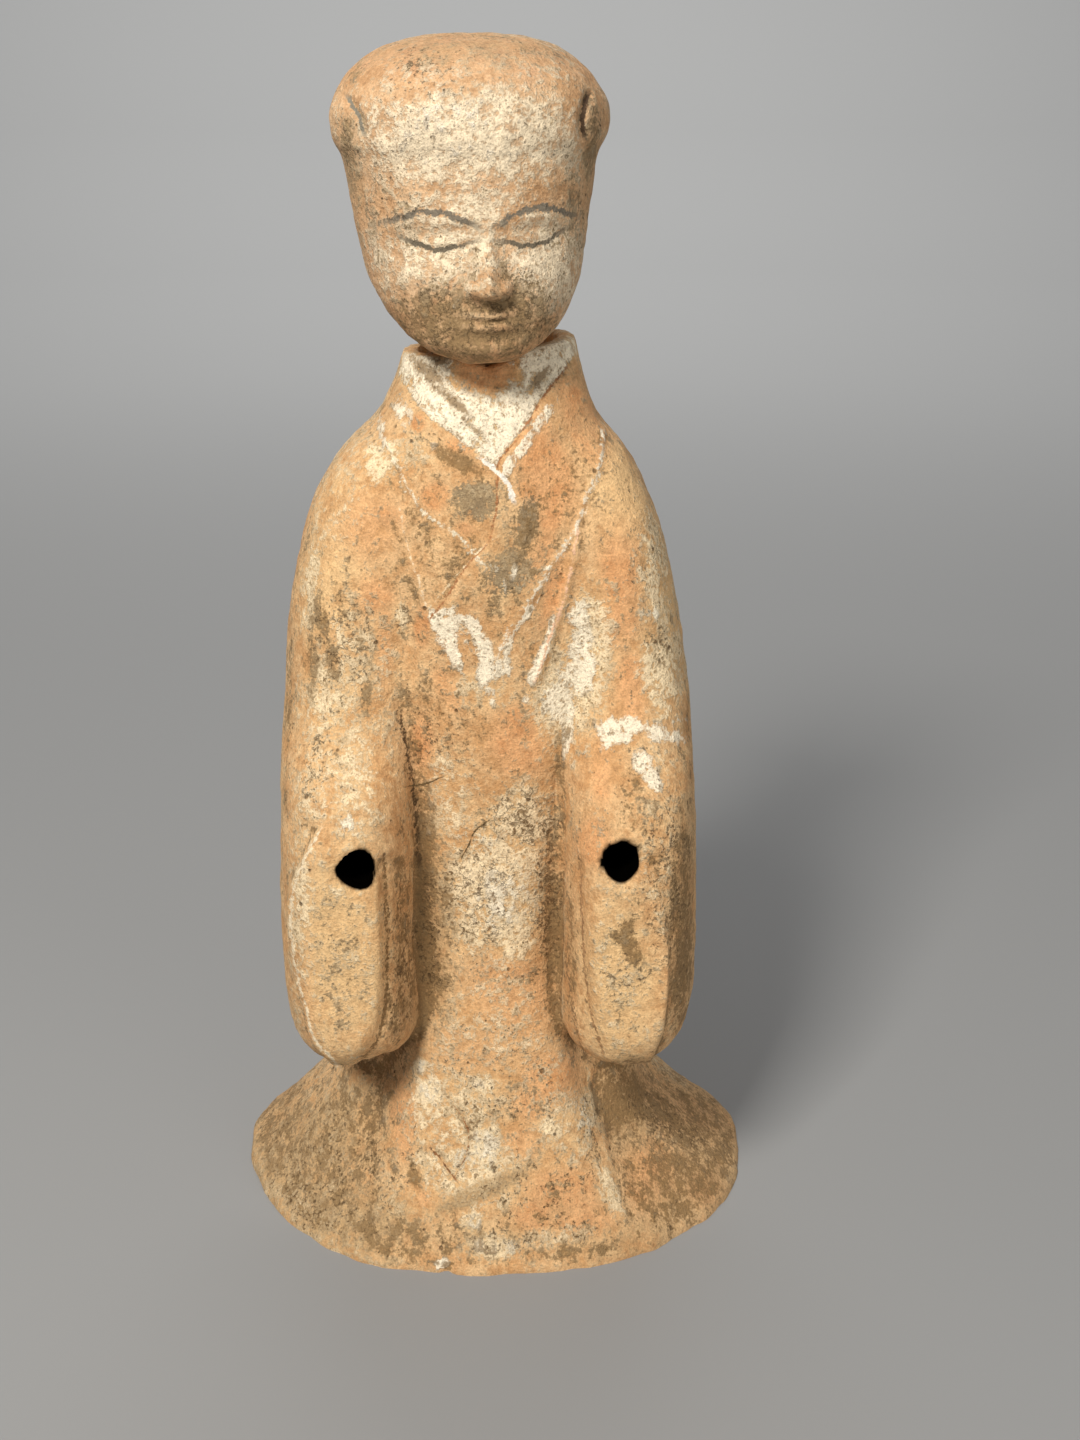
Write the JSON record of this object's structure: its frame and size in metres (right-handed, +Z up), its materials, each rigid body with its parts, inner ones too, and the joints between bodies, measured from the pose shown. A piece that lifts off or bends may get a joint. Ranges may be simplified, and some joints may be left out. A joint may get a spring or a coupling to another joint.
{
  "type": "terracotta court lady figure",
  "caption": "Standing moulded terracotta figure in a long flared robe, with hanging sleeves, a hand socket in each cuff and a separate head seated in the collar.",
  "frame": {"origin": "middle of the hem's footprint, on the surface it stands on", "axes": "+Z up, the figure looks along -Y, +X on the viewer's right"},
  "size_m": [0.2314, 0.1694, 0.4806],
  "materials": {
    "slipped_terracotta": "matt low-fired clay with worn buff and white slip",
    "head_terracotta": "matt low-fired clay with worn buff slip and thin grey paint lines"
  },
  "bodies": {
    "root": {"robed_body": "slipped_terracotta", "head": "head_terracotta"}
  },
  "joints": []
}
